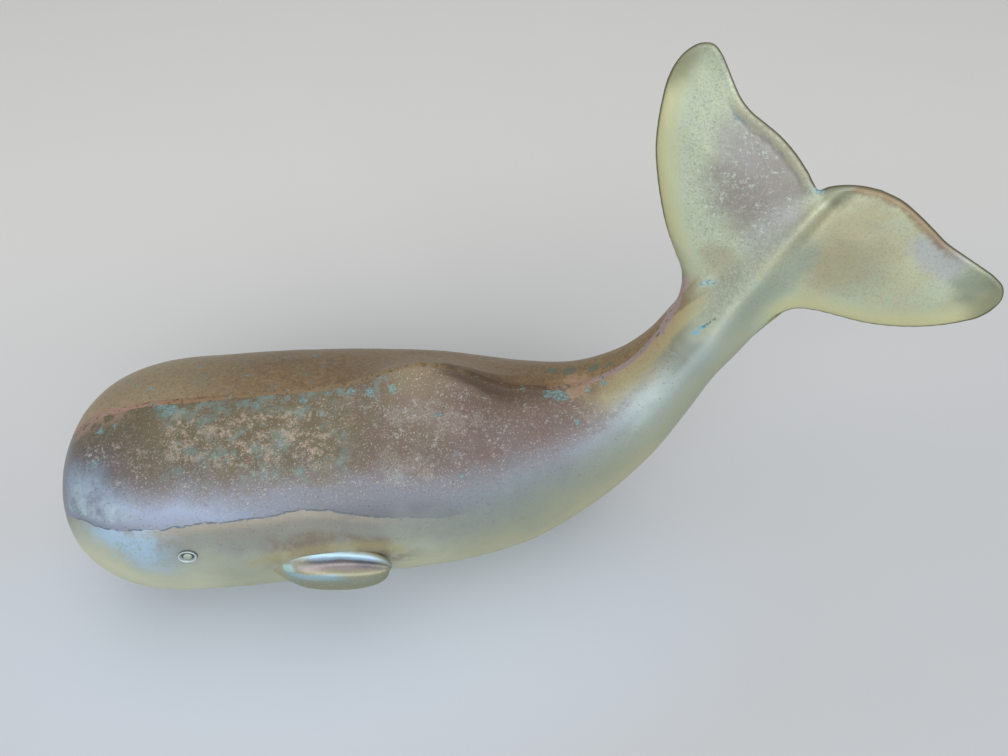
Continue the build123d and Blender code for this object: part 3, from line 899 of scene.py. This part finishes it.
def seamStrip(name, angle, replaced, material):
    # a low bead carried along the skin's middle line, with flat sides down to the inner skin
    along = skinRows(0)[:, None]
    share = np.linspace(-1, 1, seam["columns"])
    outer = skin(along, np.full_like(along, angle))
    inner = skin(skinRows(seam["depth"])[:, None], np.full_like(along, angle), seam["depth"])
    out = outer - inner
    out = out / np.maximum(np.linalg.norm(out, axis=-1, keepdims=True), 1e-9)
    top = np.repeat(outer, seam["columns"], axis=1)
    top[..., 1] = share * halfSeam
    rough = lumps(top, seam["lumpSize"], seed=8) - 0.5
    top = top + out * ((seam["crown"] + rough * seam["roughness"]) * (1 - share ** 2))[..., None]
    low = np.repeat(inner, seam["columns"], axis=1)
    low[..., 1] = share[::-1] * halfSeam
    ring = np.concatenate([top, low], axis=1)
    ring[..., 2] = np.maximum(ring[..., 2], 0)
    rows, columns = ring.shape[:2]
    ends = [capFaces(0, columns)[:, ::-1], capFaces((rows - 1) * columns, columns)]
    fields = {"along": along + np.zeros(columns)}
    piece(name, ring, [replaced], material, fields, ends)


pinkBraze = brazeFinish()
seamStrip("backBraze", 0.0, "back_seam_braze", pinkBraze)
seamStrip("bellyBraze", 180.0, "belly_seam_braze", pinkBraze)


# Tail casting

tail = {
    "jointWidth": 2,
    "twist": np.radians(30),
    "radius": 17.5,
    # the keel's depth and half width as pairs of distance along the tail and millimetres
    "keelDeep": ((0, 17.5), (8, 17), (20, 13.6), (34, 9.6), (50, 6), (66, 4), (82, 2), (95, 0.6)),
    "keelWide": ((0, 17.5), (12, 17.3), (26, 16.5), (45, 15), (66, 11), (82, 7), (95, 4)),
    "keelSoft": 0.62,  # width of the keel's bell curve as a share of its half width
    "keelBlend": (4, 34),  # where the stock's circle gives way to the bell curve
    "keelRims": (5, 8),  # widths of its rounding towards the leading and the trailing edge
    # outline as pairs of span and distance along the tail, from the lower tip to the upper tip
    "lowerLead": ((-74, 84.4), (-73.1, 78.7), (-69.7, 72.9), (-63.4, 65.1), (-54.4, 57.1), (-45.3, 51.2),
                  (-34.8, 46.4), (-27.7, 43.1), (-21.5, 38.7), (-18.5, 33), (-17.6, 22)),
    "lowerTrail": ((-74, 84.4), (-73, 88.9), (-69.9, 92.2), (-65, 93.4), (-58.3, 93.4), (-50.5, 93.1),
                   (-43, 93), (-36, 94), (-28.2, 95), (-20, 95.4), (-12, 94)),
    "upperLead": ((17.6, 10), (20, 16.5), (24.5, 22.6), (31.5, 27.4), (39.2, 32.6), (49, 41), (57.6, 49.8),
                  (64, 57.5), (69, 65.7), (72.7, 73.3), (75.5, 80.5), (76.5, 87)),
    "upperTrail": ((12, 83.8), (21, 86.7), (29.4, 88.3), (36.5, 88.7), (43, 89), (49, 90.5), (54.5, 93.2),
                   (60, 96.3), (65, 98.8), (69, 99.6), (73, 97.4), (75.5, 93.2), (76.5, 87)),
    "notch": ((-12, 94), (-6.5, 91.6), (-1, 88), (3, 84), (5, 81), (8, 81.9), (12, 83.8)),
    "plate": (7.6, 4.0),  # thickness at the middle and at the tips
    "plateStart": 16,  # the plate grows out of the keel over this distance
    "tipSpan": 76,
    "leadRim": 9,  # width of the rounding along the leading edges
    "trailRim": 2,
    "thinEdge": (0.4, 24),  # share of the thickness left at the trailing edge, and how far in it thins
    "lip": (2.2, 1.2, 0.05),  # place, width and height of the lip along the trailing edge
    "groove": (4.4, 1.3, 0.14),  # the same for the groove inside it
    "lipSpan": (6, 16, 46, 56),  # starts, full, fades, ends
    "lipRim": (1.5, 3.5),
    "valley": (-4.0, 2.4, 0.6),  # place, width and depth of the crease beside the ridge
    "ridge": (0.8, 2.2, 0.3),
    "ridgeStart": (42, 62),
    "ridgeRim": 8,
    "lumpDepth": 0.3,
    "lumpSizes": (14, 5),
    "lumpRim": (1, 6),
    "lumpStart": (2, 10),
    "spots": ((5, 81.5, 1.6), (13, 27, 1.3), (11, 29.5, 0.7), (14.5, 24.5, 0.6)),
    "streak": ((5.2, 8.9), (2.2, 21.0)),
    "scar": ((15.2, 0), (16.8, 9), (20.4, 21)),  # end of the back's braze, smeared over the joint
    "sideRows": 120,
    "middleRows": 60,
    "columns": 90,
}


def tailFrame():
    # start of the casting, and its directions along the tail, up, across the lobes and through them
    lift = body["tailLift"]
    axis = np.array([np.cos(lift), 0, np.sin(lift)])
    up = np.array([-np.sin(lift), 0, np.cos(lift)])
    start = spinePlace(np.array(bodyLength), 0, 0) + axis * tail["jointWidth"]
    span = up * np.cos(tail["twist"]) + np.array([0, 1, 0]) * np.sin(tail["twist"])
    return start, axis, up, span, np.cross(axis, span)


def tableLine(values, x):
    # smooth curve through pairs of place and value
    places, heights = np.array(values, float).T
    return curveThrough(places, heights, np.gradient(heights, places), x)


def lobeLines(count):
    # edges of both lobes, each lobe drawn as one smooth line from the stock round its tip to the notch
    lower = tail["lowerLead"] + ((-tail["radius"], 0),)
    lowerLoop = lower[::-1] + tail["lowerTrail"][1:]
    upper = ((tail["radius"], 0),) + tail["upperLead"]
    upperLoop = upper + tail["upperTrail"][-2::-1]
    lowerTip = len(lower) - 1
    upperTip = len(upper) - 1
    return {
        "lowerLead": spline(lowerLoop, count, 0, lowerTip)[::-1],
        "lowerTrail": spline(lowerLoop, count, lowerTip),
        "upperLead": spline(upperLoop, count, 0, upperTip),
        "upperTrail": spline(upperLoop, count, upperTip)[::-1],
    }


def roundRim(distance, width):
    # quarter circle rise from a rim
    return np.sqrt(1 - (1 - np.clip(distance / width, 0, 1)) ** 2)


def bellCurve(x, form):
    # height times e to the minus square of the distance from the middle over the width
    middle, width, height = form
    return height * np.exp(-((x - middle) / width) ** 2)


def flukeThickness(spanwise, tailward, leadEdge, trailEdge):
    # root of the squares of a plate with round rims and a keel that starts as the stock's circle,
    # with a lip and groove along the upper trailing edge and a crease beside the ridge
    wide = tableLine(tail["keelWide"], tailward)
    leadRound, trailRound = tail["keelRims"]
    roundKeel = np.sqrt(np.maximum(0, 1 - (spanwise / tail["radius"]) ** 2))
    softKeel = np.exp(-(spanwise / (tail["keelSoft"] * wide)) ** 2) * roundRim(leadEdge, leadRound)
    keel = roundKeel + (softKeel - roundKeel) * ease(*tail["keelBlend"], tailward)
    keel = tableLine(tail["keelDeep"], tailward) * keel * roundRim(trailEdge, trailRound)
    reach = np.clip(np.abs(spanwise) / tail["tipSpan"], 0, 1)
    plate = (tail["plate"][0] * (1 - reach) + tail["plate"][1] * reach) / 2
    thin, thinning = tail["thinEdge"]
    plate = plate * (thin + (1 - thin) * ease(0, thinning, trailEdge))
    rims = roundRim(leadEdge, tail["leadRim"]) * roundRim(trailEdge, tail["trailRim"])
    half = np.sqrt((plate * rims * ease(0, tail["plateStart"], tailward)) ** 2 + keel ** 2)
    start, full, fade, end = tail["lipSpan"]
    lip = bellCurve(trailEdge, tail["lip"]) - bellCurve(trailEdge, tail["groove"])
    lip = lip * ease(start, full, spanwise) * ease(end, fade, spanwise) * ease(*tail["lipRim"], trailEdge)
    crease = bellCurve(spanwise, tail["valley"]) - bellCurve(spanwise, tail["ridge"])
    crease = crease * ease(*tail["ridgeStart"], tailward) * ease(0, tail["ridgeRim"], trailEdge)
    return half + lip - crease


def flukes(material):
    # lines from the leading edge to the trailing edge, and a thickness over that outline
    side = tail["sideRows"]
    middle = tail["middleRows"]
    turn = np.linspace(-np.pi / 2, np.pi / 2, middle)
    joint = np.stack([tail["radius"] * np.sin(turn), np.zeros(middle)], -1)
    lines = lobeLines(side)
    notch = spline(tail["notch"], middle)
    lead = np.concatenate([lines["lowerLead"][:-1], joint, lines["upperLead"][1:]])
    trail = np.concatenate([lines["lowerTrail"][:-1], notch, lines["upperTrail"][1:]])
    share = (1 - np.cos(np.linspace(0, np.pi, tail["columns"]))) / 2
    flat = lead[:, None] * (1 - share)[None, :, None] + trail[:, None] * share[None, :, None]
    fine = lobeLines(markPoints["edge"])
    leadEdge = nearest(flat, np.concatenate([fine["lowerLead"], fine["upperLead"]]))
    fineNotch = spline(tail["notch"], markPoints["notch"])
    trailEdge = nearest(flat, np.concatenate([fine["lowerTrail"], fineNotch, fine["upperTrail"]]))
    spanwise, tailward = flat[..., 0], flat[..., 1]
    half = flukeThickness(spanwise, tailward, leadEdge, trailEdge)

    # both faces meet along the outline, and the first column is the stock's circle
    half[:, -1] = 0
    half[[0, -1]] = 0
    half[:side - 1, 0] = 0
    half[side + middle - 1:, 0] = 0
    half = np.maximum(half, 0)
    half[side - 1:side + middle - 1, 0] = np.sqrt(np.maximum(0, tail["radius"] ** 2 - joint[:, 0] ** 2))
    start, axis, up, span, thick = tailFrame()
    centre = start + tailward[..., None] * axis + spanwise[..., None] * span
    bulge = castLumps(centre, *tail["lumpSizes"], seed=5) * tail["lumpDepth"]
    bulge = bulge * ease(*tail["lumpStart"], tailward)
    bulge = bulge * ease(*tail["lumpRim"], np.minimum(leadEdge, trailEdge))
    spots = np.full_like(spanwise, farOff)
    for spotSpan, spotAlong, radius in tail["spots"]:
        spots = np.minimum(spots, np.hypot(spanwise - spotSpan, tailward - spotAlong) - radius)
    streak = nearest(flat, spline(tail["streak"], markPoints["tail"]))
    scar = nearest(flat, spline(tail["scar"], markPoints["tail"]))
    sheets = []
    faceFields = []
    for face in (1, -1):
        rise = face * half + bulge
        sheets.append(centre + rise[..., None] * thick)
        beside = spanwise[..., None] * span + rise[..., None] * thick
        turned = np.degrees(np.arctan2(-beside[..., 1], beside @ up))
        hidden = 0 if face > 0 else farOff  # the marks are on the one face
        faceFields.append({
            "leadEdge": leadEdge,
            "trailEdge": trailEdge,
            "spanwise": spanwise,
            "tailward": tailward,
            "around": np.abs(turned),
            "far": (turned < 0) * 1.0,
            "spots": spots + hidden,
            "streak": streak + hidden,
            "scar": scar + hidden,
        })
    ring = np.concatenate([sheets[0], sheets[1][:, ::-1]], axis=1)
    fields = {}
    for key in faceFields[0]:
        fields[key] = np.concatenate([faceFields[0][key], faceFields[1][key][:, ::-1]], axis=1)
    piece("tailFlukes", ring, ["tail_flukes"], material, fields)


flukes(flukePatina())


# Braze ring between the stock and the tail

collar = {
    "inner": 2.75,
    "crown": 0.02,
    "rows": 160,
    "columns": 9,
}


def jointRing(material):
    # from the stock's end section to the tail's circle, crowned like a bead, with a plain inner wall
    turn = np.linspace(0, 360, collar["rows"] + 1)
    angle = np.where(turn <= 180, turn, 360 - turn)
    sideways = np.where(turn <= 180, 1.0, -1.0)
    start, axis = tailFrame()[:2]
    outer = skin(np.full_like(angle, bodyLength), angle)
    outer[:, 1] *= sideways
    centre = start - axis * tail["jointWidth"]
    out = outer - centre
    radius = np.linalg.norm(out, axis=-1)
    out = out / radius[:, None]
    share = np.linspace(0, 1, collar["columns"])
    crown = collar["crown"] * 4 * share * (1 - share)
    reach = radius[:, None] * (1 - share) + tail["radius"] * share + crown
    along = share[None, :, None] * tail["jointWidth"] * axis
    bead = centre + out[:, None] * reach[..., None] + along
    wall = centre + out[:, None] * (radius[:, None] - collar["inner"])[..., None] + along[:, [-1, 0]]
    loop = np.concatenate([bead, wall], axis=1)
    loop = np.concatenate([loop, loop[:1]])
    around = np.append(angle, 0)[:, None] + 0 * loop[..., 0]
    fields = {"around": around, "far": np.append(sideways < 0, False)[:, None] + 0 * around}
    piece("tailBraze", loop, ["tail_joint_braze"], material, fields)


jointRing(jointFinish())


# Eyes

eye = {
    "along": 66.0,
    "angle": 74.0,
    "radius": 4.2,
    # pairs of radius and height above the skin, from the middle of the boss to the pin
    "profile": ((0, 0.75), (0.9, 0.72), (1.7, 0.55), (2.2, 0.15), (2.6, 0.0), (3.0, 0.25), (3.4, 0.85),
                (3.8, 0.9), (4.15, 0.5), (4.2, 0.0), (4.2, -1.1), (1.5, -1.15), (1.5, -6), (0, -6)),
    "oval": 0.76,  # the stud's height as a share of its length
    "rows": 90,
    "columns": 64,
}


def skinFrame(along, angle):
    # points on the left skin with their outward normals and their directions down the side
    step = 0.5
    ahead = skin(along + step, angle) - skin(along - step, angle)
    down = skin(along, angle + step) - skin(along, angle - step)
    out = np.cross(down, ahead)
    out = out / np.linalg.norm(out, axis=-1, keepdims=True)
    return skin(along, angle), out, down / np.linalg.norm(down, axis=-1, keepdims=True)


def eyeStud(side, material):
    # the profile turned about the skin's normal and narrowed to an oval
    centre, out, down = skinFrame(np.array(eye["along"]), np.array(eye["angle"]))
    ahead = np.cross(down, out)
    profile = spline(eye["profile"], eye["rows"])
    turn = np.linspace(0, 2 * np.pi, eye["columns"], endpoint=False)
    flat = np.cos(turn)[:, None] * ahead + eye["oval"] * np.sin(turn)[:, None] * down
    radius = np.maximum(profile[:, 0], 0)
    radius[[0, -1]] = 0
    grid = centre + radius[:, None, None] * flat[None] + profile[:, 1][:, None, None] * out
    fields = {"radius": np.broadcast_to(radius[:, None], grid.shape[:2])}
    sidePiece(side, grid, "Eye", "_eye", material, fields)


# Flippers

flipper = {
    "along": 96,
    "length": 55,
    "angle": 89.4,
    "droop": 4.5,
    "flare": np.radians(32),
    "standOff": 4.5,
    "sink": 3.0,  # how deep the front tip lies under the skin
    "sinkEnd": 0.34,  # share of the length where it is out of it
    "halfWidth": 10.7,
    "thickness": 7.5,
    "widest": 0.54,  # share of the length
    "frontPower": (2.2, 0.65),  # powers of the outline's curve in front
    "rearPower": 2.4,
    "slant": 0.8,  # how much further back the upper corner of the tip lies
    "slantStart": 0.4,
    "valley": (-0.34, 0.27, 2.7),  # place across, width and depth of the hollow
    "ridge": (0.14, 0.22, 0.3),
    "hollowStart": (0.15, 0.7),
    "hollowEnd": (0.5, 3),  # share lost towards the tip, and the power by which it goes
    "rows": 110,
    "columns": 120,
}


def flipperLeaf(side, material):
    # a leaf along the side: an ellipse in each section, with a hollow and a ridge along its outer face
    share = (1 - np.cos(np.linspace(0, np.pi, flipper["rows"]))) / 2
    front = np.clip(1 - share / flipper["widest"], 0, 1)
    rear = np.clip((share - flipper["widest"]) / (1 - flipper["widest"]), 0, 1)
    inner, outer = flipper["frontPower"]
    leaf = (1 - front ** inner) ** outer * (1 - rear ** flipper["rearPower"]) ** (1 / flipper["rearPower"])
    turn = np.linspace(0, 2 * np.pi, flipper["columns"], endpoint=False)
    across = np.cos(turn)[None, :]
    facing = np.sin(turn)[None, :] > 0
    slant = flipper["slant"] * across * ease(flipper["slantStart"], 1, share)[:, None]
    along = flipper["along"] + flipper["length"] * share[:, None] - slant
    angle = flipper["angle"] + flipper["droop"] * share[:, None] + 0 * across
    centre, out, down = skinFrame(along, angle)
    chord = down * np.cos(flipper["flare"]) + out * np.sin(flipper["flare"])
    thick = np.cross(chord, np.array([1.0, 0, 0]))
    thick = thick / np.linalg.norm(thick, axis=-1, keepdims=True)
    thick = thick * np.sign(np.sum(thick * out, axis=-1, keepdims=True))
    stand = flipper["standOff"] * share - flipper["sink"] * ease(flipper["sinkEnd"], 0, share)
    centre = centre + out * stand[:, None, None]
    size = leaf[:, None]
    wide = across * flipper["halfWidth"] * size
    high = np.sin(turn)[None, :] * flipper["thickness"] / 2 * size
    loss, power = flipper["hollowEnd"]
    strength = size * (ease(*flipper["hollowStart"], share) * (1 - loss * rear ** power))[:, None]
    form = bellCurve(across, flipper["ridge"]) - bellCurve(across, flipper["valley"])
    high = high + np.where(facing, form * strength * np.sqrt(1 - across ** 2), 0)
    grid = centre + wide[..., None] * chord + high[..., None] * thick
    grid[0] = grid[0].mean(0)
    grid[-1] = grid[-1].mean(0)
    fields = {
        "across": across + 0 * size,
        "share": share[:, None] + 0 * across,
        "facing": facing + 0 * size,
    }
    sidePiece(side, grid, "Flipper", "_flipper", material, fields)


eyeBrass = eyeFinish()
flipperBrass = flipperFinish()
for side in (-1, 1):
    eyeStud(side, eyeBrass)
    flipperLeaf(side, flipperBrass)


# Floor, light and camera

stage = {
    "floorSize": 6,
    "paintedNearShade": (196, 198, 199),
    "paintedFarLight": (220, 218, 212),
    "depth": (-0.1, 0.35),  # metres, where the painted light goes from the darker near tone to the lighter far one
    "mottle": (206, 204, 200),
    "paintedBlueShade": (208, 219, 234),
    "paintedBlueShadePlace": (-0.08, -0.06),  # middle and size of the painted bluish shade on the floor in front, in metres
    "paintedBlueShadeSize": (0.17, 0.07),
    "floorRoughness": 0.9,
    "roomTone": (220, 226, 236),
    "roomStrength": 0.55,
    "lamps": {
        "skyLight": {"place": (-0.3, -1.6, 1.1), "target": (0, 0, 0.06), "size": (3.0, 1.2), "power": 32,
                     "colour": (0.95, 0.97, 1)},
        "overhead": {"place": (0.1, 0.35, 2.0), "target": (0, 0, 0.05), "size": (2.4, 2.4), "power": 15,
                     "colour": (1, 0.96, 0.91)},
    },
}


def floor():
    bpy.ops.mesh.primitive_plane_add(size=stage["floorSize"])
    plane = bpy.context.object
    plane.name = "floor"
    r = Recipe("paleFloor", stage)
    parts = r.add("ShaderNodeSeparateXYZ")
    r.plug(parts.inputs[0], r.place)
    x, y = parts.outputs["X"], parts.outputs["Y"]
    # painted light on the floor: darker near the camera, lighter far off, and a painted bluish shade in
    # front of the whale
    r.colour = r.blend(r.rise(y, *stage["depth"]), "paintedNearShade", "paintedFarLight")
    r.paint("mottle", r.span(r.noise(90, 5), 0.0, 0.2))
    gap = r.ellipse(x, y, stage["paintedBlueShadePlace"], stage["paintedBlueShadeSize"])
    r.paint("paintedBlueShade", r.rise(gap, 2.4, -0.6), 0.6)
    r.plug(r.shader.inputs["Base Color"], r.colour)
    r.plug(r.shader.inputs["Roughness"], stage["floorRoughness"])
    plane.data.materials.append(r.material)


def lamp(name, place, target, size, power, colour):
    light = bpy.data.lights.new(name, "AREA")
    light.shape = "RECTANGLE"
    light.size, light.size_y = size
    light.energy = power
    light.color = colour
    thing = bpy.data.objects.new(name, light)
    thing.location = place
    thing.rotation_euler = (Vector(target) - Vector(place)).to_track_quat("-Z", "Y").to_euler()
    bpy.context.scene.collection.objects.link(thing)


def studio():
    world = bpy.data.worlds.new("paleRoom")
    world.use_nodes = True
    background = world.node_tree.nodes["Background"]
    background.inputs["Color"].default_value = tone(*stage["roomTone"])
    background.inputs["Strength"].default_value = stage["roomStrength"]
    bpy.context.scene.world = world
    for name, settings in stage["lamps"].items():
        lamp(name, **settings)


view = {
    "place": (-7.0, -229.5, 359.6),
    "right": (0.9962, -0.0872, 0.0),
    "up": (0.0648, 0.7403, 0.6691),
    "back": (-0.0583, -0.6666, 0.7431),
    "focal": 757,  # pixels
    "frameWidth": 1008,
    "sensor": 36,
    "clipStart": 0.01,
}


def camera():
    data = bpy.data.cameras.new("camera")
    data.sensor_fit = "HORIZONTAL"
    data.sensor_width = view["sensor"]
    data.lens = view["focal"] / view["frameWidth"] * view["sensor"]
    data.clip_start = view["clipStart"]
    thing = bpy.data.objects.new("camera", data)
    turn = Matrix((view["right"], view["up"], view["back"])).transposed()
    thing.matrix_world = Matrix.Translation(Vector(view["place"]) * mm) @ turn.to_4x4()
    bpy.context.scene.collection.objects.link(thing)
    bpy.context.scene.camera = thing


floor()
studio()
camera()
bpy.context.scene.view_settings.view_transform = "Standard"
print("stage and camera set")
